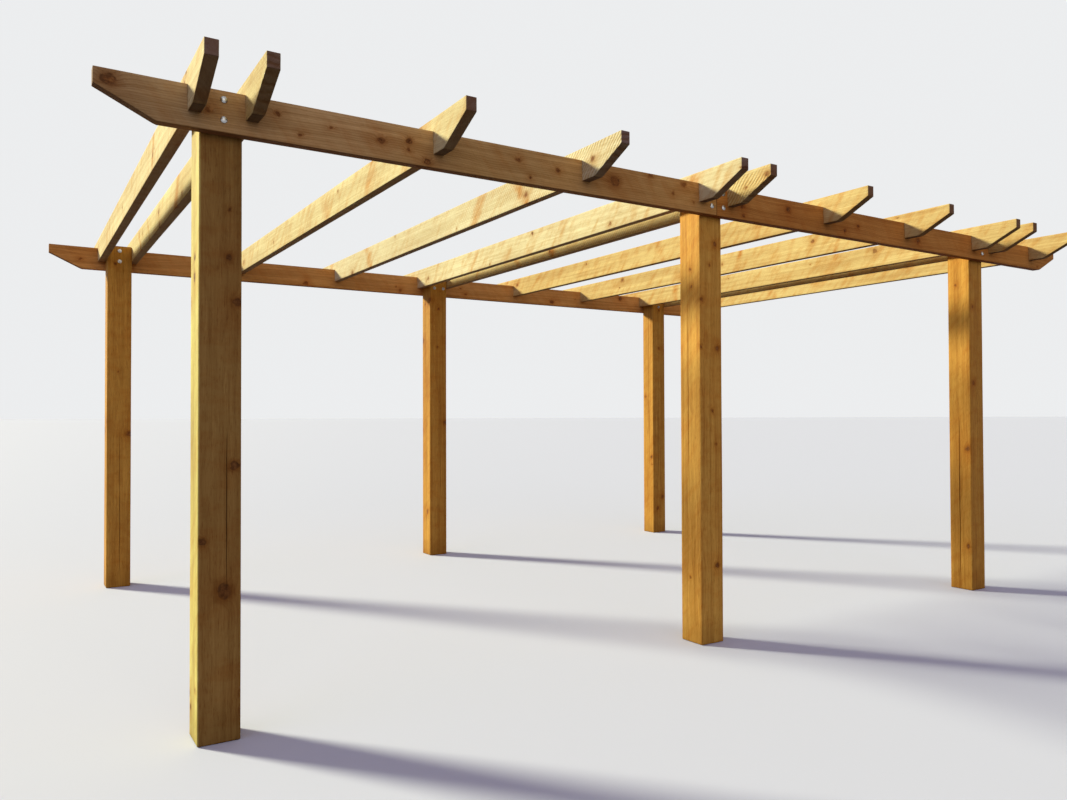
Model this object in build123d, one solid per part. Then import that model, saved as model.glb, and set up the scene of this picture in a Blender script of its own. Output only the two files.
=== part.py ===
"""Free-standing softwood pergola: two rows of three square posts, a beam
bolted to the outer face of each row, and rafters halved over both beams with
bevelled tails.  Millimetres, +X along the beams, +Y from the front row to the
back row, +Z up.  The origin is on the ground under the middle of the frame.
"""
from build123d import *
import os

# Posts
post_width = 150.0          # square section
post_arris = 6.0            # rounding of the four upright corners
bay_length = 2400.0         # post to post along a row, centre to centre
row_spacing = 3200.0        # front row to back row, centre to centre

# Beams, one line along the outer face of each row of posts
beam_thickness = 47.0
beam_depth = 150.0
beam_underside = 2175.0     # clear height below the beams
beam_end_margin = 293.0     # from the outermost rafter to the beam's end
butt_gap = 2.0              # between the two lengths over the middle posts

# Rafters
rafter_thickness = 47.0
rafter_depth = 150.0
rafter_drop = 95.0          # rafter's underside below the beam's top edge
rafter_pitch = 743.0        # spacing of the rafters inside a bay
rafters_in_bay = 2          # single rafters between two pairs
end_rafter_step = 500.0     # from the right-hand pair to the last rafter
rafter_tail = 335.0         # reach past the outer face of the posts

# Cut ends of beams and rafters: a short upright nose over a sloping undercut
nose_height = 55.0
undercut_run = 195.0        # along the board, from the nose to the underside

# Cross-halving joints
beam_notch_depth = 47.5     # the rest of rafter_drop is cut from the rafter
notch_play = 0.5            # side clearance in each notch

board_arris = 3.0           # eased edges of beams and rafters

# Levels
beam_top = beam_underside + beam_depth
rafter_underside = beam_top - rafter_drop
rafter_top = rafter_underside + rafter_depth
rafter_notch_depth = rafter_drop - beam_notch_depth
seat_level = beam_top - beam_notch_depth
post_height = beam_top

# Left faces of the posts, counted from the left-hand post's left face
post_names = ("left", "middle", "right")
post_faces = [i * bay_length for i in range(len(post_names))]


def rafter_faces():
    """Left faces of all rafters: a pair hugs each post, singles fill the bay."""
    faces = []
    for face in post_faces:
        faces.append(face - rafter_thickness)
        faces.append(face + post_width)
        if face != post_faces[-1]:
            faces += [face + post_width + (k + 1) * rafter_pitch
                      for k in range(rafters_in_bay)]
    faces.append(faces[-1] + end_rafter_step)
    return faces


rafters = rafter_faces()

# Ends of the beams, and the shift that centres the frame over the origin
left_end = rafters[0] - beam_end_margin
right_end = rafters[-1] + rafter_thickness + beam_end_margin
shift_x = -(left_end + right_end) / 2
front_face = -(row_spacing + post_width) / 2
back_face = (row_spacing + post_width) / 2
butt_line = post_faces[1] + post_width / 2


def eased_board(outline, plane, thickness, sides):
    """Board sawn from a closed outline, with the edges of its two sides eased."""
    board = extrude(plane * make_face(Polyline(*outline, close=True)), thickness)
    rims = board.faces().filter_by(sides).edges()
    return fillet(rims, board_arris)


def notch(x, y, z, size_x, size_y, size_z):
    """Block that cuts one side of a cross-halving joint, from its low corner."""
    return Pos(x, y, z) * Box(size_x, size_y, size_z, align=(Align.MIN,) * 3)


def post(x, y):
    """Square post from its left front corner, arrises rounded."""
    body = Pos(x + shift_x, y, 0) * Box(
        post_width, post_width, post_height, align=(Align.MIN,) * 3)
    return fillet(body.edges().filter_by(Axis.Z), post_arris)


def beam(x0, x1, y, bevelled_left):
    """One length of beam from x0 to x1, its free end cut on a slope below and
    its top edge notched under every rafter that crosses it."""
    nose_level = beam_top - nose_height
    if bevelled_left:
        outline = [(x0, beam_top), (x0, nose_level), (x0 + undercut_run, beam_underside),
                   (x1, beam_underside), (x1, beam_top)]
    else:
        outline = [(x0, beam_top), (x0, beam_underside), (x1 - undercut_run, beam_underside),
                   (x1, nose_level), (x1, beam_top)]
    outline = [(x + shift_x, z) for x, z in outline]
    face_plane = Plane(origin=(0, y, 0), x_dir=(1, 0, 0), z_dir=(0, -1, 0))
    board = eased_board(outline, face_plane, -beam_thickness, Axis.Y)
    for face in rafters:
        if x0 < face < x1:
            board -= notch(face + shift_x - notch_play, y - notch_play, seat_level,
                           rafter_thickness + 2 * notch_play,
                           beam_thickness + 2 * notch_play, rafter_depth)
    return board


def rafter(face):
    """Rafter with both tails bevelled, notched down over the two beams."""
    tail_front = front_face - rafter_tail
    tail_back = back_face + rafter_tail
    nose_level = rafter_top - nose_height
    outline = [(tail_front, rafter_top), (tail_front, nose_level),
               (tail_front + undercut_run, rafter_underside),
               (tail_back - undercut_run, rafter_underside),
               (tail_back, nose_level), (tail_back, rafter_top)]
    side_plane = Plane.YZ.offset(face + shift_x)
    board = eased_board(outline, side_plane, rafter_thickness, Axis.X)
    for y in (front_face - beam_thickness, back_face):
        board -= notch(face + shift_x - notch_play, y - notch_play,
                       rafter_underside - notch_play,
                       rafter_thickness + 2 * notch_play,
                       beam_thickness + 2 * notch_play,
                       rafter_notch_depth + notch_play)
    return board


nodes = {}
for row, row_y, beam_y in (("front", front_face, front_face - beam_thickness),
                           ("back", back_face - post_width, back_face)):
    for name, face in zip(post_names, post_faces):
        nodes[f"{row}_{name}_post"] = post(face, row_y)
    nodes[f"{row}_left_beam"] = beam(left_end, butt_line - butt_gap / 2, beam_y, True)
    nodes[f"{row}_right_beam"] = beam(butt_line + butt_gap / 2, right_end, beam_y, False)
for number, face in enumerate(rafters, start=1):
    nodes[f"rafter_{number:02d}"] = rafter(face)

os.makedirs("parts", exist_ok=True)
for name, shape in nodes.items():
    export_step(shape, f"parts/{name}.step")
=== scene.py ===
import math
import random

import bpy
import numpy as np
from mathutils import Matrix, Vector


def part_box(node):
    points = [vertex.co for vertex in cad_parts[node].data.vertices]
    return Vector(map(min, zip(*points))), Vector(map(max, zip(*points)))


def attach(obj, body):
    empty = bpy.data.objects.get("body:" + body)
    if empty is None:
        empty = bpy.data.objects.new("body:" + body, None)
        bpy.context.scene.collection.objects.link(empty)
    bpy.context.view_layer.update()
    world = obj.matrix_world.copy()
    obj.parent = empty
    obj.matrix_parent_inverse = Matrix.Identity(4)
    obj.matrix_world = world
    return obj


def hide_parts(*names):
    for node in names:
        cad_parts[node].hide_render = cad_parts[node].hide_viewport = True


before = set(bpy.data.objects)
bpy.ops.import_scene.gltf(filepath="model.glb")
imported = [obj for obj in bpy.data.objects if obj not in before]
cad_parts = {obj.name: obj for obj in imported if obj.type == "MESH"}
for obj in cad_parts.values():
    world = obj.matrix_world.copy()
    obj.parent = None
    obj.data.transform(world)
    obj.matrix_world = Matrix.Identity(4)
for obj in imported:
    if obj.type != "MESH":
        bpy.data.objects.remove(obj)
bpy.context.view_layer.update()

# Sizes in metres, read from the frame where a node gives them
FL_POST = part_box("front_left_post")
FM_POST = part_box("front_middle_post")
FR_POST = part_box("front_right_post")
FRONT_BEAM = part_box("front_left_beam")
BACK_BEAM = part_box("back_left_beam")
POST_WIDTH = FL_POST[1][0] - FL_POST[0][0]
POST_FACE = FL_POST[0][1]
BEAM_FACE = FRONT_BEAM[0][1]
BEAM_TOP = FRONT_BEAM[1][2]
NOTCH_DEPTH = 0.095 / 2
NOTCH_PLAY = 0.0005
NOSE = 0.055
UNDERCUT = 0.195

ROWS = ("front", "back")
POSTS = [f"{row}_{place}_post" for row in ROWS for place in ("left", "middle", "right")]
BEAMS = [f"{row}_{place}_beam" for row in ROWS for place in ("left", "right")]
RAFTERS = [f"rafter_{number:02d}" for number in range(1, 12)]

# The axis that each kind of timber's grain runs along
BEAM_GRAIN, RAFTER_GRAIN, POST_GRAIN = 0, 1, 2

# Grid steps along and across the grain, and how far the arrises are rounded
POST_STEP = (0.011, 0.0125)
POST_ARRIS = 0.006
BOARD_STEP = (0.013, 0.0115)
BOARD_ARRIS = 0.003

# First seeds of each kind of timber, for its mesh and its material
POST_SEED, BEAM_SEED, RAFTER_SEED = 30, 60, 80
CHECK_SEED = 100
POST_WOOD_SEED, BEAM_WOOD_SEED, RAFTER_WOOD_SEED = 500, 600, 700


def centre_of(box):
    return [(low + high) / 2 for low, high in zip(*box)]


def size_of(box):
    return [high - low for low, high in zip(*box)]


def add_object(name, data):
    thing = bpy.data.objects.new(name, data)
    bpy.context.scene.collection.objects.link(thing)
    return thing


# Smooth noise for the meshes

# Large odd factors that scatter neighbouring lattice points
HASH_FACTORS = (374761393, 668265263, 2147483647, 1274126177)


def hash_grid(ix, iy, iz, seed):
    """Repeatable value in 0..1 for each lattice point."""
    value = sum(number * factor for number, factor in zip((ix, iy, iz, seed), HASH_FACTORS))
    value = (value ^ (value >> 13)) * HASH_FACTORS[3]
    value = value ^ (value >> 16)
    return (value & 0xFFFFFF).astype(np.float64) / 0xFFFFFF


def value_noise(points, seed):
    """Smooth value noise in -1..1 at points (n, 3)."""
    base = np.floor(points).astype(np.int64)
    part = points - base
    part = part * part * (3 - 2 * part)
    total = np.zeros(len(points))
    for dx in (0, 1):
        weight_x = part[:, 0] if dx else 1 - part[:, 0]
        for dy in (0, 1):
            weight_y = part[:, 1] if dy else 1 - part[:, 1]
            for dz in (0, 1):
                weight_z = part[:, 2] if dz else 1 - part[:, 2]
                total += weight_x * weight_y * weight_z * hash_grid(
                    base[:, 0] + dx, base[:, 1] + dy, base[:, 2] + dz, seed)
    return total * 2 - 1


# Timber meshes

# Where an arris has its middle row, as a share of its radius
ARRIS_MIDDLE = 0.45
# Half the width of a drying check's rows, and the room that they and a notch need
CHECK_ROW = 0.0012
CHECK_ROOM = 0.0045
WALL_ROOM = 0.003
FLOOR_ROOM = 0.004
# How far a check strays sideways from its straight line
CHECK_WANDER = 0.0022
# Edges sharper than these stay creased in the shading
WOOD_CREASE = math.radians(38)
STEEL_CREASE = math.radians(35)

# A post's faces: the axis that it closes, 1 across and 2 deep, and which end of it
FACES = {"left": (1, 0), "front": (2, 0), "right": (1, 1), "back": (2, 1)}

# For each step to a neighbouring cell, the corners of the face between the two
FACE_CORNERS = {
    (1, 0, 0): [(1, 0, 0), (1, 1, 0), (1, 1, 1), (1, 0, 1)],
    (-1, 0, 0): [(0, 0, 0), (0, 0, 1), (0, 1, 1), (0, 1, 0)],
    (0, 1, 0): [(0, 1, 0), (0, 1, 1), (1, 1, 1), (1, 1, 0)],
    (0, -1, 0): [(0, 0, 0), (1, 0, 0), (1, 0, 1), (0, 0, 1)],
    (0, 0, 1): [(0, 0, 1), (1, 0, 1), (1, 1, 1), (0, 1, 1)],
    (0, 0, -1): [(0, 0, 0), (0, 1, 0), (1, 1, 0), (1, 0, 0)]}


def levels(length, arris, step, checks=()):
    """Grid levels along one side: fine at both arrises, even between, with
    the three rows of each drying check put in where it runs."""
    inner = np.linspace(arris, length - arris, max(2, round((length - 2 * arris) / step) + 1))
    middle = arris * ARRIS_MIDDLE
    marks = [0, middle, *inner, length - middle, length]
    for at in checks:
        marks = [m for m in marks if abs(m - at) > CHECK_ROOM or m in (0, length)]
        marks += [at - CHECK_ROW, at, at + CHECK_ROW]
    return np.array(sorted(marks))


def station_levels(length, step, arris, cuts):
    """Levels along the grain, with the walls of each notch hit exactly."""
    middle = arris * ARRIS_MIDDLE
    marks = [0, middle, arris, length - arris, length - middle, length]
    marks += list(np.linspace(arris, length - arris, round(length / step)))
    for walls in cuts:
        for wall in walls:
            marks = [m for m in marks if not wall - WALL_ROOM < m < wall + WALL_ROOM]
        marks += walls
    return np.array(sorted(set(marks)))


def wander(along, seed, size):
    """Slow sideways wander of a check along the grain."""
    rng = random.Random(seed)
    total = np.zeros(len(along))
    for wave in range(3):
        total += math.sin(rng.random() * 6) * np.sin(
            along * (3 + 5 * wave) * (0.7 + rng.random()) + rng.random() * 6) / (wave + 1)
    return total * size


class Timber:
    """One sawn timber as a grid of cells. Its points have three places, each
    from zero: along the grain, across the thickness and deep."""

    def __init__(self, name, size, arris, step, seed, checks=(), cuts=(), cut_above=False,
                 undercuts=(False, False)):
        self.name, self.size, self.arris, self.seed = name, size, arris, seed
        self.checks, self.undercuts = checks, undercuts
        length, thickness, depth = size
        rows = {axis: [check["at"] for check in checks if FACES[check["face"]][0] == axis]
                for axis in (1, 2)}
        self.along = station_levels(length, step[0], arris, cuts)
        self.across = levels(thickness, arris, step[1], rows[2])
        self.deep = levels(depth, arris, step[1], rows[1])
        notch_floor = depth - NOTCH_DEPTH if cut_above else NOTCH_DEPTH
        if cuts:
            clear = [m for m in self.deep if abs(m - notch_floor) > FLOOR_ROOM]
            self.deep = np.array(sorted(clear + [notch_floor]))
        self.solid = self.cells(cuts, notch_floor, cut_above)

    def cells(self, cuts, notch_floor, cut_above):
        """True for each cell of wood, False for those in a notch."""
        solid = np.ones((len(self.along) - 1, len(self.across) - 1, len(self.deep) - 1), bool)
        middle_along = (self.along[1:] + self.along[:-1]) / 2
        middle_deep = (self.deep[1:] + self.deep[:-1]) / 2
        removed = middle_deep > notch_floor if cut_above else middle_deep < notch_floor
        for low, high in cuts:
            between = (middle_along > low) & (middle_along < high)
            solid[np.ix_(between, np.ones(len(self.across) - 1, bool), removed)] = False
        return solid

    def quads(self):
        """Outward faces between solid cells and nothing."""
        counts = (len(self.along), len(self.across), len(self.deep))
        index = np.arange(math.prod(counts)).reshape(counts)
        padded = np.pad(self.solid, 1)
        core = padded[1:-1, 1:-1, 1:-1]
        found = []
        for step, corners in FACE_CORNERS.items():
            beside = padded[tuple(slice(1 + move, size - 1 + move)
                                  for move, size in zip(step, padded.shape))]
            i, j, k = np.nonzero(core & ~beside)
            found.append(np.stack([index[i + c[0], j + c[1], k + c[2]] for c in corners], 1))
        return np.concatenate(found)

    def skin(self):
        """The grid points that the outward faces use, and those faces."""
        used, inverse = np.unique(self.quads(), return_inverse=True)
        across, deep = len(self.across), len(self.deep)
        points = np.stack([self.along[used // (across * deep)], self.across[(used // deep) % across],
                           self.deep[used % deep]], 1)
        return points, inverse.reshape(-1, 4)

    def open_checks(self, points):
        """Drying checks: the middle row sinks and the two beside it spread.
        Gives each point's shift and how deep it lies in a check, 0 to 1."""
        shift = np.zeros_like(points)
        sunk = np.zeros(len(points))
        for number, check in enumerate(self.checks):
            axis, end = FACES[check["face"]]
            other = 3 - axis
            place = points[:, 0]
            on_face = np.isclose(points[:, axis], self.size[axis] if end else 0)
            share = np.clip((place - check["from"]) / (check["to"] - check["from"]), 0, 1)
            swell = np.clip(np.sin(share * math.pi), 0, 1) ** 0.45
            uneven = value_noise(np.stack([place * 9, place * 0, place * 0 + number], 1), self.seed)
            swell = swell * (0.75 + 0.25 * uneven)
            off = points[:, other] - check["at"]
            row = on_face & (np.abs(off) < CHECK_ROW + 0.0001)
            middle = row & (np.abs(off) < 0.0002)
            side = row & ~middle
            shift[row, other] += wander(place, self.seed + number * 7, CHECK_WANDER)[row]
            shift[side, other] += np.sign(off[side]) * (swell[side] * check["width"] / 2 - 0.0006)
            shift[middle, axis] += (-1 if end else 1) * swell[middle] * check["depth"]
            sunk[middle] = np.maximum(sunk[middle], swell[middle])
        return shift, sunk

    def round_arrises(self, points):
        """Pull every point to the arris radius around the core. Gives the
        points and their ways outward."""
        core = np.clip(points, self.arris, np.array(self.size) - self.arris)
        away = points - core
        reach = np.linalg.norm(away, axis=1)
        safe = np.maximum(reach, 1e-9)
        pull = np.where(reach > self.arris, self.arris / safe, 1.0)
        outward = np.where(reach[:, None] > 1e-9, away / safe[:, None], 0)
        outward[:, 0] *= 0.5
        return core + away * pull[:, None], outward

    def unevenness(self, points, roughness, bow):
        """Depth of the saw's roughness and of slow hollows at each point."""
        rough = roughness * (value_noise(points * np.array([5.0, 60.0, 60.0]), self.seed) + 1) / 2
        slow = bow * (value_noise(points * np.array([2.3, 9.0, 9.0]), self.seed + 5) + 1) / 2
        return rough + slow

    def undercut_ends(self, points):
        """Sloping undercut below each free end, up to the upright nose."""
        length, _, depth = self.size
        for end, cut in enumerate(self.undercuts):
            if cut:
                from_end = length - points[:, 0] if end else points[:, 0]
                rise = np.clip(1 - from_end / UNDERCUT, 0, 1) * (depth - NOSE)
                points[:, 2] = rise + points[:, 2] * (depth - rise) / depth

    def build(self, place, roughness=0.0003, bow=0.0008):
        """Make the mesh; place turns (along, across, deep) into x, y, z."""
        points, quads = self.skin()
        shift, sunk = self.open_checks(points)
        rounded, outward = self.round_arrises(points)
        points = rounded - outward * self.unevenness(rounded, roughness, bow)[:, None] + shift
        self.undercut_ends(points)
        mesh = bpy.data.meshes.new(self.name)
        mesh.from_pydata(place(points).tolist(), [], quads.tolist())
        layer = mesh.attributes.new("check", "FLOAT", "POINT")
        layer.data.foreach_set("value", sunk.astype(np.float32))
        mesh.polygons.foreach_set("use_smooth", np.ones(len(quads), bool))
        mesh.set_sharp_from_angle(angle=WOOD_CREASE)
        mesh.update()
        return mesh


# Node trees

class Nodes:
    """Short hand for building a node tree."""

    def __init__(self, owner):
        owner.use_nodes = True
        self.tree = owner.node_tree
        self.tree.nodes.clear()

    def add(self, kind, **values):
        node = self.tree.nodes.new(kind)
        for key, value in values.items():
            setattr(node, key, value)
        return node

    def link(self, output, socket):
        self.tree.links.new(output, socket)

    def feed(self, socket, value):
        if isinstance(value, bpy.types.NodeSocket):
            self.link(value, socket)
        else:
            socket.default_value = value

    def feed_all(self, node, values):
        for socket, value in zip(node.inputs, values):
            if value is not None:
                self.feed(socket, value)

    def math(self, operation, a, b=None, c=None):
        node = self.add("ShaderNodeMath", operation=operation)
        self.feed_all(node, (a, b, c))
        return node.outputs[0]

    def product(self, a, b):
        return self.math("MULTIPLY", a, b)

    def vector(self, operation, a, b=None, c=None):
        node = self.add("ShaderNodeVectorMath", operation=operation)
        self.feed_all(node, (a, b, c))
        return node.outputs["Value" if operation == "LENGTH" else "Vector"]

    def nearer(self, a, b):
        """The smaller of two distances, where the first may not be there yet."""
        return b if a is None else self.math("MINIMUM", a, b)

    def combine(self, x, y, z):
        node = self.add("ShaderNodeCombineXYZ")
        self.feed_all(node, (x, y, z))
        return node.outputs[0]

    def split(self, vector):
        node = self.add("ShaderNodeSeparateXYZ")
        self.link(vector, node.inputs[0])
        return node.outputs

    def noise(self, vector, scale=1.0, detail=2.0, rough=0.5, output="Fac"):
        node = self.add("ShaderNodeTexNoise")
        self.feed(node.inputs["Vector"], vector)
        node.inputs["Scale"].default_value = scale
        node.inputs["Detail"].default_value = detail
        node.inputs["Roughness"].default_value = rough
        return node.outputs[output]

    def ramp(self, value, stops):
        """Eased steps between grey values or colours."""
        node = self.add("ShaderNodeValToRGB")
        node.color_ramp.interpolation = "EASE"
        while len(node.color_ramp.elements) < len(stops):
            node.color_ramp.elements.new(0.5)
        for element, (at, colour) in zip(node.color_ramp.elements, stops):
            element.position = at
            if not hasattr(colour, "__len__"):
                colour = (colour, colour, colour)
            element.color = (*colour, 1)
        self.feed(node.inputs[0], value)
        return node.outputs[0]

    def mix(self, kind, factor, a, b):
        node = self.add("ShaderNodeMix", data_type="RGBA", blend_type=kind)
        self.feed(node.inputs[0], factor)
        for socket, value in ((node.inputs[6], a), (node.inputs[7], b)):
            if isinstance(value, tuple) and len(value) == 3:
                value = (*value, 1)
            self.feed(socket, value)
        return node.outputs[2]

    def span(self, value, low, high, new_low=0.0, new_high=1.0):
        node = self.add("ShaderNodeMapRange")
        self.feed_all(node, (value, low, high, new_low, new_high))
        return node.outputs[0]

    def relief(self, shader, height, strength, distance):
        bump = self.add("ShaderNodeBump")
        bump.inputs["Strength"].default_value = strength
        bump.inputs["Distance"].default_value = distance
        self.link(height, bump.inputs["Height"])
        self.link(bump.outputs[0], shader.inputs["Normal"])

    def surface(self, shader, output="ShaderNodeOutputMaterial"):
        self.link(shader.outputs[0], self.add(output).inputs[0])


# Branches

# Those that the photograph shows: a point on the face, the branch's way
# through the timber and its radius
FRONT = (0, 1, 0)
SIDE = (1, 0, 0)


def on_front(face, *knots):
    return [((x, face, z), FRONT, radius) for x, z, radius in knots]


def on_side(face, *knots):
    return [((face, y, z), SIDE, radius) for y, z, radius in knots]


SEEN_KNOTS = {
    "front_left_beam": on_front(
        BEAM_FACE, (-3.019, 2.291, 0.019), (-2.707, 2.244, 0.008), (-2.462, 2.278, 0.007),
        (-2.375, 2.214, 0.005), (-2.261, 2.262, 0.005), (-2.058, 2.250, 0.011),
        (-1.939, 2.266, 0.009), (-1.939, 2.230, 0.006), (-1.860, 2.194, 0.011),
        (-1.429, 2.275, 0.008), (-1.368, 2.202, 0.0055), (-1.221, 2.255, 0.007),
        (-0.901, 2.256, 0.020), (-0.686, 2.314, 0.008), (-0.541, 2.248, 0.006),
        (-0.472, 2.301, 0.009), (-0.409, 2.223, 0.005)),
    "front_right_beam": on_front(
        BEAM_FACE, (0.280, 2.275, 0.013), (0.753, 2.210, 0.008), (0.871, 2.252, 0.006)),
    "front_left_post": on_front(
        POST_FACE, (-2.618, 1.913, 0.005), (-2.619, 1.740, 0.009), (-2.589, 1.582, 0.011),
        (-2.600, 0.987, 0.011), (-2.711, 0.723, 0.008), (-2.634, 0.538, 0.020)) + on_side(
        FL_POST[0][0], (-1.604, 1.742, 0.009), (-1.600, 1.671, 0.013)),
    "front_middle_post": on_front(
        POST_FACE, (-0.221, 2.041, 0.010), (-0.259, 1.931, 0.005), (-0.315, 1.751, 0.009),
        (-0.209, 1.504, 0.009), (-0.322, 1.512, 0.006), (-0.243, 1.183, 0.007),
        (-0.220, 1.013, 0.005)) + on_side(
        FM_POST[0][0], (-1.603, 1.914, 0.006), (-1.612, 1.820, 0.005)),
    "front_right_post": on_front(
        POST_FACE, (2.109, 1.871, 0.007), (2.110, 1.367, 0.009)) + on_side(
        FR_POST[0][0], (-1.580, 2.024, 0.006)),
    "rafter_04": on_side(-1.089, (-1.802, 2.311, 0.010)),
    "rafter_05": on_side(-0.372, (-2.005, 2.333, 0.005)),
    "rafter_06": on_side(-0.175, (-1.849, 2.299, 0.007), (-1.985, 2.336, 0.010)),
}

# Spike knots that cross a rafter's left face: y, z, lean (dy/dz), half width
SEEN_SPIKES = {
    "rafter_03": [(-1.00, 2.28, -0.7, 0.030)],
    "rafter_04": [(-0.727, 2.303, -0.82, 0.034), (-1.196, 2.280, 0.82, 0.028)],
}

# How thinly branches are spread, by the axis of the grain
SPARSE = (1.5, 2.2, 1.0)


def seen_branches(node, grain, centre):
    """The photograph's branches; those of a post start at its pith."""
    found = []
    for at, along, radius in SEEN_KNOTS.get(node, ()):
        at, along = Vector(at), Vector(along)
        if grain == POST_GRAIN:
            along = at - centre
            along.z = 0.0
        found.append((at, along.normalized(), radius))
    return found


def random_branch(node, grain, at, centre, rng):
    """A made-up branch near one place along the timber."""
    post = grain == POST_GRAIN
    low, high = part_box(node)
    where = [rng.uniform(start + 0.012, end - 0.012) for start, end in zip(low, high)]
    if post:
        # a post's branches start near its middle
        where = [middle + rng.uniform(-0.012, 0.012) for middle in centre]
    where[grain] = at + rng.uniform(-0.07, 0.07)
    turn = rng.uniform(0, math.pi) if post else rng.gauss(0, 0.45)
    along = [0, 0, 0]
    along[1 if grain == BEAM_GRAIN else 0] = math.cos(turn)
    along[1 if post else 2] = math.sin(turn)
    along[grain] = rng.uniform(-0.25, 0.25)
    radius = 0.0035 + 0.0105 * rng.random() ** 2.0
    return Vector(where), Vector(along).normalized(), radius


def branches(node, grain, rng):
    """Branches of the tree that crossed this timber: a point on each, its
    direction and its radius. Those the photograph shows come first."""
    low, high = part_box(node)
    centre = Vector(centre_of((low, high)))
    found = seen_branches(node, grain, centre)
    apart = 0.34 if grain == POST_GRAIN or node.startswith("front") else 0.2
    whorl = (1, 1, 2, 3) if grain == POST_GRAIN else (1, 1, 2)
    at = low[grain] + rng.uniform(0.1, 0.4)
    while at < high[grain] - 0.08:
        taken = any(abs(place[grain] - at) < apart for place, _, _ in found)
        for _ in range(0 if taken else rng.choice(whorl)):
            branch = random_branch(node, grain, at, centre, rng)
            # the front tails carry only the knots that the photograph shows
            if grain != RAFTER_GRAIN or branch[0][1] > BEAM_FACE:
                found.append(branch)
        at += rng.uniform(0.24, 0.62) * SPARSE[grain]
    return found


def spikes(node, rng):
    """Branches sawn along their length, that cross a rafter's side faces:
    y, z, lean, half width and whether it shows on the left."""
    low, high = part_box(node)
    found = [(*spike, True) for spike in SEEN_SPIKES.get(node, ())]
    at = low[1] + rng.uniform(0.2, 0.5)
    while at < high[1] - 0.2:
        if all(abs(spike[0] - at) > 0.35 for spike in found):
            found.append((at, rng.uniform(low[2], high[2]), rng.uniform(-0.9, 0.9),
                          0.012 + 0.022 * rng.random(), rng.random() < 0.6))
        at += rng.uniform(0.35, 1.1)
    return found


# Wood

# Tints that the wood is multiplied by
FIBRE_TINT = (0.55, 0.42, 0.3)
PATCH_TINT = (0.70, 0.58, 0.46)
FLECK_TINT = (0.52, 0.36, 0.22)
CLOUD_TINT = (0.82, 0.56, 0.33)
# painted shade in the saw ripples
SAW_RIPPLE_SHADE = (0.78, 0.64, 0.46)
SPIKE_TINT = (0.84, 0.55, 0.32)
SWIRL_TINT = (0.80, 0.60, 0.42)
KNOT_TINT = (0.62, 0.42, 0.28)
# end grain is darker; its depth and cool cast are partly painted shade
END_GRAIN_AND_SHADE_TINT = (0.255, 0.172, 0.29)
# painted shade on faces that look down
DOWNWARD_SHADE_TINT = (0.72, 0.54, 0.48)
# more painted shade on flat undersides
UNDERSIDE_SHADE_TINT = (0.80, 0.71, 0.72)
# painted shade under the rafter tails, where they meet the beam
FOOT_SHADE_TINT = (0.34, 0.36, 0.45)
DAMP_TINT = (0.55, 0.5, 0.42)

# Colours that lie over the wood
TREATED_GREEN = (0.30, 0.27, 0.09)
BARK = (0.06, 0.025, 0.010)
BARK_RING = (0.07, 0.028, 0.012)
WEATHERED = (0.27, 0.19, 0.115)
# painted shade deep in a drying check
CHECK_SHADE = (0.035, 0.018, 0.008)
HEART = ((0.36, (0.10, 0.036, 0.013)), (0.52, (0.21, 0.08, 0.026)), (0.66, (0.32, 0.14, 0.045)))

# Late wood across one growth ring
RING = [(0.0, 0.15), (0.5, 0.3), (0.86, 1.0), (0.97, 0.25), (1.0, 0.1)]
SAW_PITCH = 0.023
# Branches thicker than this show a full ring of bark
RINGED_KNOT = 0.018
# How far a knot's outline strays from a circle
KNOT_WOBBLE = 0.022


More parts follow.
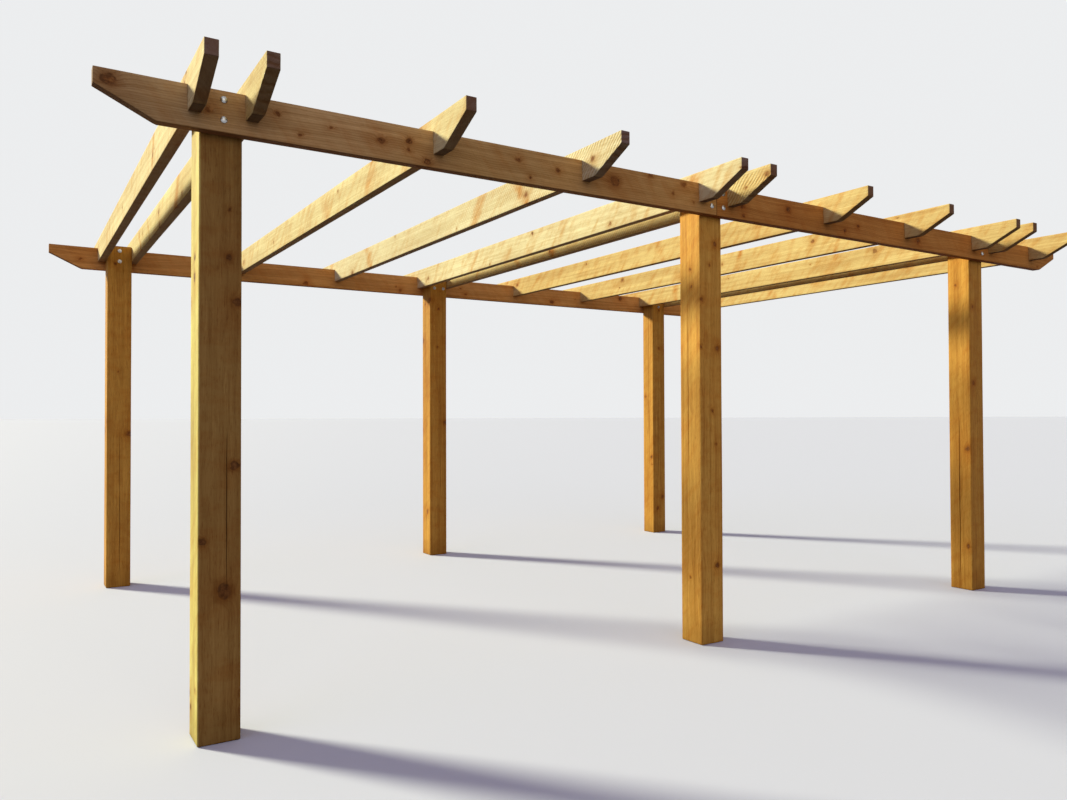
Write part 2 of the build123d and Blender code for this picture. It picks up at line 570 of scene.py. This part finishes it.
class Wood(Nodes):
    """Softwood cut from a round trunk: growth rings about a pith, branches
    that the grain flows round, fibres, saw marks and darker end grain. As in
    its mesh, places run along the grain, across it and deep."""

    def __init__(self, node, grain, seed, planed, sawn):
        self.material = bpy.data.materials.new("wood_" + node)
        super().__init__(self.material)
        self.node, self.grain, self.planed, self.sawn = node, grain, planed, sawn
        self.rng = random.Random(seed)
        self.coords = self.add("ShaderNodeTexCoord").outputs["Object"]
        self.xyz = self.split(self.coords)
        centre = centre_of(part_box(node))
        self.along = self.math("ADD", self.xyz[grain], self.rng.uniform(3, 40))
        self.across, self.deep = (self.math("SUBTRACT", self.xyz[axis], centre[axis])
                                  for axis in range(3) if axis != grain)
        self.jump_across, self.jump_deep = self.rng.uniform(2, 30), self.rng.uniform(2, 30)

    def stretched(self, along, across, jump=0.0):
        """Place in the timber, scaled along the grain and across it."""
        return self.combine(
            self.product(self.along, along),
            self.math("MULTIPLY_ADD", self.across, across, jump + self.jump_across),
            self.math("MULTIPLY_ADD", self.deep, across, jump + self.jump_deep))

    def darken(self, factor, tint):
        self.colour = self.mix("MULTIPLY", factor, self.colour, tint)

    def cover(self, factor, colour):
        self.colour = self.mix("MIX", factor, self.colour, colour)

    def find_knots(self):
        """Distance from the nearest branch over its radius, 1 at the bark."""
        wobble = self.noise(self.coords, 45.0, output="Color")
        bent = self.vector("MULTIPLY_ADD", wobble, (KNOT_WOBBLE,) * 3, self.coords)
        squeeze = [1.0] * 3
        squeeze[self.grain] = 0.8
        self.knot = self.ringed = None
        for at, along, radius in branches(self.node, self.grain, self.rng):
            off = self.vector("SUBTRACT", bent, tuple(at + Vector((KNOT_WOBBLE / 2,) * 3)))
            off = self.vector("MULTIPLY", off, tuple(squeeze))
            off = self.vector("LENGTH", self.vector("CROSS_PRODUCT", off, tuple(along)))
            distance = self.math("DIVIDE", off, radius)
            self.knot = self.nearer(self.knot, distance)
            if radius > RINGED_KNOT:
                self.ringed = self.nearer(self.ringed, distance)

    def pith(self):
        """Where the trunk's middle lies from the timber's own."""
        uniform = self.rng.uniform
        if self.planed:
            return uniform(-0.02, 0.02), uniform(-0.02, 0.02)
        return uniform(-0.05, 0.05), self.rng.choice((-1, 1)) * uniform(0.05, 0.16)

    def grow_rings(self):
        """Rings about the pith, pushed about along the length and by knots."""
        flow = self.math("POWER", self.span(self.knot, 3.6, 0.6), 2.0)
        push = self.noise(self.stretched(1.5, 5.0), 1.0, 3)
        pith_across, pith_deep = self.pith()
        across = self.math("ADD", self.math("SUBTRACT", self.across, pith_across),
                           self.span(push, 0, 1, -0.030, 0.030))
        deep = self.math("ADD", self.math("SUBTRACT", self.deep, pith_deep),
                         self.span(push, 0, 1, -0.036, 0.036))
        radius = self.math("SQRT", self.math("ADD", self.product(across, across),
                                             self.product(deep, deep)))
        radius = self.math("MULTIPLY_ADD", flow, 0.024, radius)
        fine = self.noise(self.stretched(6, 90), 1.0, 4, 0.6)
        radius = self.math("ADD", radius, self.span(fine, 0, 1, -0.0014, 0.0014))
        uneven = self.noise(self.combine(self.product(radius, 30), self.product(self.along, 0.2), 7.0))
        radius = self.math("MULTIPLY_ADD", uneven, 0.016, radius)
        ring = self.math("FRACT", self.math("DIVIDE", radius, self.rng.uniform(0.0075, 0.0105)))
        self.late = self.ramp(ring, RING)
        self.bands = self.noise(
            self.combine(self.product(radius, 55), self.product(self.along, 0.35), 0.0))

    def lay_fibres(self):
        """Fibres and streaks along the grain, blotches across it."""
        self.streak = self.noise(self.stretched(1.6, 70, 3.0), 1.0, 4, 0.55)
        self.thread = self.noise(self.stretched(0.9, 190, 9.0), 1.0, 3, 0.5)
        self.fibre = self.noise(self.stretched(22, 900), 1.0, 3, 0.6)
        self.patch = self.noise(self.stretched(1.3, 7, 5.0), 1.0, 4, 0.6)
        self.fleck = self.noise(self.stretched(26, 210, 6.0), 1.0, 3, 0.65)

    def paint_grain(self, light, dark, figure, streaks, drift_and_shade, lit_side):
        """Light and dark wood, tinted along its length where tints along it are given,
        partly as painted shade, and with one side painted paler as painted sunlight where given."""
        figured = self.product(self.late, figure)
        figured = self.math("ADD", figured, self.span(self.bands, 0.36, 0.66, 0, 0.4))
        figured = self.math("ADD", figured, self.span(self.streak, 0.34, 0.68, 0, streaks))
        self.colour = self.mix("MIX", figured, light, dark)
        # a tint along the board, partly painted shade
        if drift_and_shade:
            first, last = drift_and_shade[0][0], drift_and_shade[-1][0]
            stops = [((at - first) / (last - first), tint) for at, tint in drift_and_shade]
            self.darken(1.0, self.ramp(self.span(self.xyz[self.grain], first, last), stops))
        # one face painted pale, as painted sunlight
        if lit_side:
            axis, inner, outer, pale, shade = lit_side
            rim = self.math("MULTIPLY_ADD", self.patch, 0.012, self.xyz[axis])
            self.cover(self.span(rim, inner, outer), self.mix("MIX", figured, pale, shade))

    def paint_blotches(self, green, flecked, mottled):
        """Threads, patches, flecks, a breath of green and slanted clouds."""
        self.darken(self.span(self.thread, 0.58, 0.72, 0, 0.28), FIBRE_TINT)
        self.darken(self.span(self.patch, 0.36, 0.68, 0, 0.55), PATCH_TINT)
        treated = self.span(self.noise(self.stretched(2.1, 3.0, 7.0)), 0.42, 0.66)
        self.cover(self.product(treated, green), TREATED_GREEN)
        self.darken(self.span(self.fibre, 0.35, 0.65, 0.35, 0.0), FIBRE_TINT)
        self.darken(self.span(self.fleck, 0.54 if self.planed else 0.6, 0.71, 0, flecked), FLECK_TINT)
        self.lean = self.math("MULTIPLY_ADD", self.deep, self.rng.uniform(0.65, 0.95), self.along)
        self.clouds = self.noise(
            self.combine(self.product(self.lean, 17), self.product(self.across, 9),
                         self.math("MULTIPLY_ADD", self.deep, 8, self.jump_deep)), 1.0, 4, 0.62)
        self.darken(self.span(self.clouds, 0.46, 0.72, 0, mottled), CLOUD_TINT)

    def paint_saw_marks(self):
        """Uneven slanted ripples across the grain, stronger on the tails, in the relief and as painted
        shade in the colour.
        """
        wobble = self.noise(self.stretched(6, 9, 2.0), 1.0, 4, 0.6)
        wave = self.math("SINE", self.math("MULTIPLY_ADD", self.lean, 2 * math.pi / SAW_PITCH,
                                           self.product(wobble, 13)))
        shown = self.span(self.noise(self.stretched(4.1, 18, 4.0), 1.0, 4, 0.65), 0.36, 0.56)
        if self.grain == RAFTER_GRAIN:
            tail = self.span(self.math("ABSOLUTE", self.xyz[1]), 1.2, 1.7, 0.45, 1)
            shown = self.product(shown, tail)
        self.saw = self.product(wave, shown)
        # painted shade in the ripples, as grazing light would show them
        self.darken(self.span(self.saw, -0.2, 0.9, 0, self.sawn), SAW_RIPPLE_SHADE)

    def paint_spikes(self):
        """Spike knots: wide orange-brown bands over a rafter's sides."""
        ragged = self.noise(self.coords, 16, 4, 0.65)
        nearest = None
        for y, z, slope, width, on_left in spikes(self.node, self.rng):
            off = self.math("ADD", self.math("SUBTRACT", self.xyz[1], y + 0.035),
                            self.product(self.math("SUBTRACT", self.xyz[2], z), -slope))
            off = self.math("MULTIPLY_ADD", ragged, 0.07, off)
            off = self.math("DIVIDE", self.math("ABSOLUTE", off), width)
            half = 0.02 if on_left else -0.02
            off = self.math("ADD", off, self.span(self.across, -half, half, 0, 3))
            nearest = self.nearer(nearest, off)
        strength = self.product(self.span(nearest, 2.1, 0.5),
                                self.span(self.clouds, 0.34, 0.6, 0.35, 1))
        patchy = self.span(self.noise(self.coords, 1.7, 1), 0.4, 0.6, 0.5, 1)
        self.darken(self.product(strength, patchy), SPIKE_TINT)

    def paint_knots(self, depth):
        """A swirl of darker wood, a heart that is darker in a dark timber
        (depth below 1), and a bark ring in places."""
        tone = self.span(self.noise(self.coords, 2.6, 1), 0.36, 0.62, 0.45, 0.95)
        self.darken(self.span(self.knot, 6.5, 1.5, 0, 0.5), SWIRL_TINT)
        self.darken(self.span(self.knot, 2.4, 0.9, 0, 0.7), KNOT_TINT)
        mottle = self.noise(self.coords, 75, 3, 0.6)
        heart = self.ramp(mottle, [(at, tuple(depth * c for c in colour)) for at, colour in HEART])
        self.cover(self.product(self.span(self.knot, 1.25, 0.6), tone), heart)
        bark = self.product(self.span(self.knot, 0.66, 0.95), self.span(self.knot, 1.25, 1.0))
        bark = self.product(bark, self.span(self.noise(self.coords, 16, 1), 0.42, 0.66, 0.0, 0.75))
        self.cover(self.product(bark, tone), BARK)
        if self.ringed is not None:
            rim = self.product(self.span(self.ringed, 0.62, 0.86), self.span(self.ringed, 1.2, 0.98))
            worn = self.span(self.noise(self.coords, 60), 0.42, 0.6, 0.0, 0.6)
            self.cover(self.product(rim, worn), BARK_RING)

    def end_and_top(self, normal):
        """How far a face is end grain, and how far a weathered top."""
        if self.grain == POST_GRAIN:
            return (self.span(self.math("ABSOLUTE", normal[2]), 0.3, 0.7),
                    self.span(normal[2], 0.5, 0.95, 0, 0.25))
        end = self.span(self.math("ABSOLUTE", normal[1 - self.grain]), 0.75, 0.35)
        tilt = self.span(self.math("ABSOLUTE", normal[self.grain]), 0.12, 0.62)
        return self.product(end, tilt), self.span(normal[2], 0.5, 0.95, 0, 0.4)

    def weather_and_shade(self):
        """End grain, partly painted shade, weathered tops, damp near a post's foot, and painted shade
        on undersides, under the tails and in the bottom of checks.
        """
        normal = self.split(self.add("ShaderNodeNewGeometry").outputs["True Normal"])
        end, top = self.end_and_top(normal)
        # end grain is darker, and partly painted shade on the tails' noses and undercuts
        self.darken(self.product(end, 0.5 if self.grain == BEAM_GRAIN else 0.9), END_GRAIN_AND_SHADE_TINT)
        self.cover(top, WEATHERED)
        # painted shade on faces that look down, and more on flat undersides
        self.darken(self.span(normal[2], -0.6, -0.95, 0, 0.7), DOWNWARD_SHADE_TINT)
        underside_shade = self.span(normal[2], -0.95, -0.99)
        self.darken(underside_shade, UNDERSIDE_SHADE_TINT)
        if self.grain == RAFTER_GRAIN:
            # painted shade under each tail, where it meets the beam
            foot = self.span(self.math("ABSOLUTE", self.xyz[1]),
                             -BEAM_FACE - 0.004, -BEAM_FACE + 0.004, 0, 0.85)
            self.darken(self.product(foot, underside_shade), FOOT_SHADE_TINT)
        if self.grain == POST_GRAIN:
            # damp near the ground
            level = self.math("MULTIPLY_ADD", self.noise(self.coords, 14, 3), 0.16, self.xyz[2])
            self.darken(self.span(level, 0.24, 0.1, 0, 0.55), DAMP_TINT)
        # painted shade, nearly black, deep in each drying check
        check = self.add("ShaderNodeAttribute", attribute_name="check").outputs["Fac"]
        self.cover(self.span(check, 0.1, 0.6, 0, 0.9), CHECK_SHADE)

    def finish(self):
        """The shader, its roughness and its relief."""
        shader = self.add("ShaderNodeBsdfPrincipled")
        self.link(self.colour, shader.inputs["Base Color"])
        rough = (0.5, 0.68) if self.planed else (0.66, 0.85)
        dull = self.math("MULTIPLY_ADD", self.late, -0.3, self.fibre)
        self.link(self.span(dull, 0.1, 0.8, *rough), shader.inputs["Roughness"])
        shader.inputs["Specular IOR Level"].default_value = 0.05
        height = self.product(self.late, 0.35)
        for layer, share in ((self.fibre, 0.6), (self.streak, 0.8), (self.fleck, 0.5),
                             (self.saw, -1.2 * self.sawn)):
            height = self.math("MULTIPLY_ADD", layer, share, height)
        height = self.math("SUBTRACT", height, self.span(self.knot, 1.25, 0.95, 0, 0.7))
        self.relief(shader, height, 0.4 if self.planed else 0.8, 0.0008)
        self.surface(shader)
        return self.material


def wood(node, grain, seed, tones, figure, streaks, mottled, flecked, sawn, green,
         planed=False, lit_side=None, drift_and_shade=None):
    """The wood of one timber; grain is the axis that it runs along."""
    light, dark = tones
    timber = Wood(node, grain, seed, planed, sawn)
    timber.find_knots()
    timber.grow_rings()
    timber.lay_fibres()
    timber.paint_grain(light, dark, figure, streaks, drift_and_shade, lit_side)
    timber.paint_blotches(green, flecked, mottled)
    timber.paint_saw_marks()
    if grain == RAFTER_GRAIN:
        timber.paint_spikes()
    timber.paint_knots(min(1.0, light[0] / 0.75))
    timber.weather_and_shade()
    return timber.finish()


# Posts


def add_piece(mesh, node, material):
    piece = add_object("timber_" + node, mesh)
    mesh.materials.append(material)
    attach(piece, "root")
    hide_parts(node)


# Drying checks that the photograph shows, by post: face, place across it,
# lowest and highest point, width and depth
CHECK_KEYS = ("face", "at", "from", "to", "width", "depth")
SEEN_CHECKS = {
    "front_left_post": [("front", 0.099, 0.52, 1.12, 0.0017, 0.008)],
    "front_middle_post": [("left", 0.092, 0.86, 1.86, 0.0048, 0.015),
                          ("front", 0.066, 0.10, 1.50, 0.0018, 0.007)],
}

# Light and dark wood of the posts; two differ from the others in the photograph
POST_TONES = {
    "front_left_post": ((0.46, 0.285, 0.095), (0.285, 0.15, 0.04)),
    "front_middle_post": ((0.95, 0.575, 0.132), (0.61, 0.287, 0.054)),
}
OTHER_POSTS = ((0.81, 0.452, 0.094), (0.50, 0.224, 0.038))
POST_LOOK = {"figure": 0.26, "streaks": 0.46, "mottled": 0.5, "flecked": 0.5, "sawn": 0.04,
             "green": 0.06, "planed": True}
# The left post's left face is painted paler than the rest of the post, as painted
# sunlight on that side: the axis, where the pale rim starts and is full, and its light and dark wood
PAINTED_LIT_SIDE = {"front_left_post": (0, FL_POST[0][0] + 0.012, FL_POST[0][0] + 0.004,
                               (0.98, 0.96, 0.33), (0.83, 0.69, 0.20))}


def post_checks(node, rng):
    """Drying checks: the photograph's own on two posts, and made-up ones on
    those posts' hidden faces and all round the others."""
    checks = [dict(zip(CHECK_KEYS, values)) for values in SEEN_CHECKS.get(node, ())]
    for face in ("left", "front", "right", "back"):
        if node in SEEN_CHECKS and face in ("left", "front"):
            continue
        start = rng.uniform(0.0, 0.7)
        checks.append({"face": face, "at": POST_WIDTH * rng.uniform(0.32, 0.68),
                       "from": start, "to": start + rng.uniform(0.9, 1.7),
                       "width": rng.uniform(0.0016, 0.0032), "depth": rng.uniform(0.006, 0.012)})
    return checks


def add_post(number, node):
    low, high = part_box(node)
    width, depth, height = size_of((low, high))
    timber = Timber(node, (height, width, depth), POST_ARRIS, POST_STEP, POST_SEED + number,
                    checks=post_checks(node, random.Random(CHECK_SEED + number)))
    mesh = timber.build(lambda p: np.array(low) + p[:, [1, 2, 0]], roughness=0.0002)
    tones = POST_TONES.get(node, OTHER_POSTS)
    add_piece(mesh, node, wood(node, POST_GRAIN, POST_WOOD_SEED + number, tones,
                               lit_side=PAINTED_LIT_SIDE.get(node), **POST_LOOK))


# Beams

BEAM_TONES = {"front_left_beam": ((0.87, 0.605, 0.31), (0.53, 0.32, 0.135)),
              "front_right_beam": ((0.77, 0.38, 0.11), (0.465, 0.19, 0.048))}
BACK_BEAMS = ((0.90, 0.49, 0.17), (0.545, 0.25, 0.074))
BEAM_LOOK = {"figure": 0.5, "streaks": 0.36, "mottled": 0.4, "flecked": 0.3, "sawn": 0.05,
             "green": 0.05}
# The near beam is darker and cooler towards its free end, partly as painted shade, and more orange
# towards the middle
BEAM_DRIFT_AND_SHADE = {"front_left_beam": ((-3.065, (0.74, 0.80, 0.95)), (-2.3, (0.97, 0.97, 1.0)),
                                  (-1.5, (1.0, 1.0, 0.92)), (-0.25, (0.97, 0.84, 0.64)))}


def add_beam(number, node):
    low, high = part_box(node)
    cuts = []
    for rafter in RAFTERS:
        left, right = (corner[0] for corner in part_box(rafter))
        if low[0] < left and right < high[0]:
            cuts.append((left - NOTCH_PLAY - low[0], right + NOTCH_PLAY - low[0]))
    on_left = node.endswith("left_beam")
    timber = Timber(node, size_of((low, high)), BOARD_ARRIS, BOARD_STEP, BEAM_SEED + number,
                    cuts=cuts, cut_above=True, undercuts=(on_left, not on_left))
    mesh = timber.build(lambda p: np.array(low) + p)
    tones = BEAM_TONES.get(node, BACK_BEAMS)
    add_piece(mesh, node, wood(node, BEAM_GRAIN, BEAM_WOOD_SEED + number, tones,
                               drift_and_shade=BEAM_DRIFT_AND_SHADE.get(node), **BEAM_LOOK))


# Rafters

NEAR_RAFTERS = ((0.88, 0.79, 0.46), (0.60, 0.45, 0.21))
FAR_RAFTERS = ((0.86, 0.69, 0.31), (0.58, 0.38, 0.14))
RAFTER_TONES = {"rafter_02": ((0.93, 0.88, 0.52), (0.66, 0.52, 0.25)),
                "rafter_03": ((0.90, 0.83, 0.49), (0.62, 0.48, 0.23)),
                "rafter_04": ((0.94, 0.92, 0.66), (0.68, 0.58, 0.32)),
                "rafter_05": ((0.93, 0.88, 0.58), (0.67, 0.54, 0.28)),
                "rafter_06": ((0.92, 0.82, 0.45), (0.63, 0.47, 0.21))}
RAFTER_LOOK = {"figure": 0.16, "streaks": 0.26, "flecked": 0.4, "green": 0.0}
ROUGH_SAWN = ("rafter_02", "rafter_04", "rafter_06")


def add_rafter(number, node):
    low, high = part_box(node)
    thickness, length, depth = size_of((low, high))
    cuts = [(beam[0][1] - NOTCH_PLAY - low[1], beam[1][1] + NOTCH_PLAY - low[1])
            for beam in (FRONT_BEAM, BACK_BEAM)]
    timber = Timber(node, (length, thickness, depth), BOARD_ARRIS, BOARD_STEP,
                    RAFTER_SEED + number, cuts=cuts, undercuts=(True, True))
    mesh = timber.build(lambda p: np.array(low) + p[:, [1, 0, 2]])
    # two axes change places, which turns the faces inside out
    mesh.flip_normals()
    tones = RAFTER_TONES.get(node, NEAR_RAFTERS if number < 5 else FAR_RAFTERS)
    mottled, sawn = (0.5, 0.95) if node in ROUGH_SAWN else (0.8, 0.02)
    add_piece(mesh, node, wood(node, RAFTER_GRAIN, RAFTER_WOOD_SEED + number, tones,
                               mottled=mottled, sawn=sawn, **RAFTER_LOOK))


for number, node in enumerate(POSTS):
    add_post(number, node)
for number, node in enumerate(BEAMS):
    add_beam(number, node)
for number, node in enumerate(RAFTERS):
    add_rafter(number, node)


# Bolts

def lathe(profile, segments):
    """Closed turned solid from (radius, height) points, axis along +Z."""
    verts, faces = [], []
    rings = []
    for radius, height in profile:
        if radius < 1e-6:
            rings.append([len(verts)])
            verts.append((0, 0, height))
            continue
        rings.append(list(range(len(verts), len(verts) + segments)))
        for step in range(segments):
            turn = 2 * math.pi * step / segments
            verts.append((radius * math.cos(turn), radius * math.sin(turn), height))
    for low, high in zip(rings, rings[1:]):
        for step in range(segments):
            following = (step + 1) % segments
            if len(low) == 1:
                faces.append((low[0], high[following], high[step]))
            elif len(high) == 1:
                faces.append((low[step], low[following], high[0]))
            else:
                faces.append((low[step], low[following], high[following], high[step]))
    return verts, faces


def hex_nut(across, height):
    """Chamfered hexagon with its corners turned down at the outer end."""
    corner = across / math.sqrt(3)
    verts, faces = [], []
    layers = [(corner * 0.985, 0.0), (corner, height * 0.08), (corner, height * 0.82),
              (corner * 0.93, height), (across * 0.28, height), (across * 0.26, height * 0.9)]
    for radius, z in layers:
        for side in range(6):
            turn = math.pi / 3 * side
            verts.append((radius * math.cos(turn), radius * math.sin(turn), z))
    for row in range(len(layers) - 1):
        for side in range(6):
            following = (side + 1) % 6
            faces.append((row * 6 + side, row * 6 + following, row * 6 + 6 + following,
                          row * 6 + 6 + side))
    faces.append(tuple(range(5, -1, -1)))
    last = (len(layers) - 1) * 6
    faces.append(tuple(range(last, last + 6)))
    return verts, faces


HEAD_RADIUS = 0.0125
HEAD_RIM = 0.0009
HEAD_RISE = 0.0068
HEAD_DOME = [(HEAD_RADIUS * math.cos(turn), HEAD_RIM + (HEAD_RISE - HEAD_RIM) * math.sin(turn))
             for turn in (0.22, 0.45, 0.7, 0.95, 1.2, 1.4)]
HEAD_PROFILE = [(0.0, 0.0), (HEAD_RADIUS, 0.0), (HEAD_RADIUS, HEAD_RIM), *HEAD_DOME,
                (0.0, HEAD_RISE)]
WASHER = 0.0021
WASHER_PROFILE = [(0.0, 0.0), (0.0119, 0.0), (0.0125, 0.0005), (0.0125, 0.0016),
                  (0.0120, WASHER), (0.0060, WASHER), (0.0, WASHER)]
SHANK_PROFILE = [(0.0, 0.0), (0.0049, 0.0), (0.0049, 0.0135), (0.0040, 0.0148), (0.0, 0.0148)]
NUT_ACROSS = 0.0168
NUT_HEIGHT = 0.0084
HEAD_SEGMENTS = 28
SHANK_SEGMENTS = 16

# Middle of each pair of bolts, half their distance, and where the middle
# post's two pairs stand from its own middle
BOLT_HEIGHT = BEAM_TOP - 0.069
BOLT_RISE = 0.036
MIDDLE_PAIRS = (-0.034, 0.046)


def zinc():
    """Dull bright galvanised steel with faint spangle and grime."""
    material = bpy.data.materials.new("galvanised_steel")
    nodes = Nodes(material)
    coords = nodes.add("ShaderNodeTexCoord").outputs["Object"]
    spangle = nodes.add("ShaderNodeTexVoronoi")
    nodes.link(coords, spangle.inputs["Vector"])
    spangle.inputs["Scale"].default_value = 420
    grime = nodes.noise(coords, 160, 4, 0.6)
    colour = nodes.mix("MIX", nodes.span(spangle.outputs["Distance"], 0, 1), (0.47, 0.48, 0.49),
                       (0.36, 0.37, 0.38))
    colour = nodes.mix("MIX", nodes.span(grime, 0.5, 0.75, 0, 0.6), colour, (0.3, 0.27, 0.23))
    shader = nodes.add("ShaderNodeBsdfPrincipled")
    nodes.link(colour, shader.inputs["Base Color"])
    shader.inputs["Metallic"].default_value = 1.0
    nodes.link(nodes.span(grime, 0.3, 0.8, 0.24, 0.5), shader.inputs["Roughness"])
    nodes.relief(shader, grime, 0.2, 0.0003)
    nodes.surface(shader)
    return material


def placed(part, x, y, z, way, spin):
    """A part's points turned from +Z to face way along Y, and moved."""
    turn = Matrix.Rotation(spin, 3, "Z")
    flip = Matrix(((1, 0, 0), (0, 0, way), (0, -way, 0)))
    turned = [flip @ (turn @ Vector(point)) for point in part[0]]
    return [(x + point.x, y + point.y, z + point.z) for point in turned]


def bolt_set(name, spots, outer_y, inner_y, outward):
    """Dome heads on the beam's outer face, washers and nuts inside the post."""
    verts, faces = [], []
    nut_y = inner_y - outward * WASHER
    for number, (x, z) in enumerate(spots):
        for part, y, way, spin in (
                (lathe(HEAD_PROFILE, HEAD_SEGMENTS), outer_y, outward, 0.0),
                (lathe(WASHER_PROFILE, HEAD_SEGMENTS), inner_y, -outward, 0.0),
                (hex_nut(NUT_ACROSS, NUT_HEIGHT), nut_y, -outward, 0.4 + number),
                (lathe(SHANK_PROFILE, SHANK_SEGMENTS), nut_y, -outward, 0.0)):
            faces += [tuple(len(verts) + corner for corner in face) for face in part[1]]
            verts += placed(part, x, y, z, way, spin)
    mesh = bpy.data.meshes.new(name)
    mesh.from_pydata(verts, [], faces)
    mesh.polygons.foreach_set("use_smooth", [True] * len(faces))
    mesh.set_sharp_from_angle(angle=STEEL_CREASE)
    piece = add_object(name, mesh)
    mesh.materials.append(steel)
    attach(piece, "root")


steel = zinc()
for node in POSTS:
    low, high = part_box(node)
    middle = (low[0] + high[0]) / 2
    across = [middle + shift for shift in MIDDLE_PAIRS] if "middle" in node else [middle]
    spots = [(x, BOLT_HEIGHT + rise) for x in across for rise in (-BOLT_RISE, BOLT_RISE)]
    if node.startswith("front"):
        bolt_set("bolts_" + node, spots, BEAM_FACE, high[1], -1)
    else:
        bolt_set("bolts_" + node, spots, BACK_BEAM[1][1], low[1], 1)


# Stage and light

FLOOR_HALF = 300.0


def seen_directly(nodes):
    """1 where the camera or a reflection looks straight at the surface."""
    path = nodes.add("ShaderNodeLightPath").outputs
    shown = nodes.math("MAXIMUM", path["Is Camera Ray"], path["Is Glossy Ray"])
    return nodes.math("MAXIMUM", shown, path["Is Transmission Ray"])


def floor_material():
    """Pale floor that throws little light up under the boards."""
    material = bpy.data.materials.new("pale_floor")
    nodes = Nodes(material)
    shader = nodes.add("ShaderNodeBsdfPrincipled")
    colour = nodes.mix("MIX", seen_directly(nodes), (0.035, 0.028, 0.024), (0.665, 0.70, 0.855))
    nodes.link(colour, shader.inputs["Base Color"])
    shader.inputs["Roughness"].default_value = 0.9
    nodes.surface(shader)
    return material


def add_floor():
    corners = [(-1, -1), (1, -1), (1, 1), (-1, 1)]
    mesh = bpy.data.meshes.new("floor")
    mesh.from_pydata([(x * FLOOR_HALF, y * FLOOR_HALF, 0) for x, y in corners], [], [(0, 1, 2, 3)])
    mesh.materials.append(floor_material())
    floor = add_object("floor", mesh)


def add_backdrop():
    """Pale for what the camera and the steel see, softer grey for the light."""
    world = bpy.data.worlds.new("studio")
    bpy.context.scene.world = world
    nodes = Nodes(world)
    background = nodes.add("ShaderNodeBackground")
    colour = nodes.mix("MIX", seen_directly(nodes), (0.25, 0.215, 0.24), (0.84, 0.85, 0.86))
    nodes.link(colour, background.inputs[0])
    background.inputs[1].default_value = 1.0
    nodes.surface(background, "ShaderNodeOutputWorld")


def add_sun(name, direction, strength, colour, spread):
    """Distant soft lamp; spread is its size in the sky in degrees."""
    light = bpy.data.lights.new(name, "SUN")
    light.energy = strength
    light.color = colour
    light.angle = math.radians(spread)
    lamp = add_object(name, light)
    lamp.rotation_euler = Vector(direction).to_track_quat("-Z", "Y").to_euler()


add_floor()
add_backdrop()
# The key comes from behind on the left, as in the photograph
add_sun("key", (0.56, -0.73, -0.40), 5.9, (1.0, 0.975, 0.69), 9)
add_sun("fill", (0.15, 0.96, -0.20), 0.72, (1.0, 0.92, 0.85), 50)
add_sun("side", (0.93, 0.22, -0.30), 0.5, (0.40, 0.52, 1.0), 60)

# The camera that took the photograph, solved from the frame's own edges
PHOTO_WIDTH = 1067
FOCAL_PX = 837.6
SENSOR_WIDTH = 36.0
CAMERA_AT = Vector((-3.2966, -4.8135, 1.1740))
YAW, PITCH, ROLL = math.radians(32.15), math.radians(0.904), math.radians(-0.165)


def add_camera():
    data = bpy.data.cameras.new("camera")
    data.sensor_fit = "HORIZONTAL"
    data.sensor_width = SENSOR_WIDTH
    data.lens = FOCAL_PX / PHOTO_WIDTH * SENSOR_WIDTH
    data.clip_end = 200
    camera = add_object("camera", data)
    forward = Vector((math.sin(YAW) * math.cos(PITCH), math.cos(YAW) * math.cos(PITCH),
                      math.sin(PITCH)))
    right = Vector((math.cos(YAW), -math.sin(YAW), 0))
    up = right.cross(forward)
    right, up = (right * math.cos(ROLL) + up * math.sin(ROLL),
                 up * math.cos(ROLL) - right * math.sin(ROLL))
    turn = Matrix((right, up, -forward)).transposed().to_4x4()
    camera.matrix_world = Matrix.Translation(CAMERA_AT) @ turn
    bpy.context.scene.camera = camera


add_camera()
bpy.context.scene.view_settings.view_transform = "Standard"
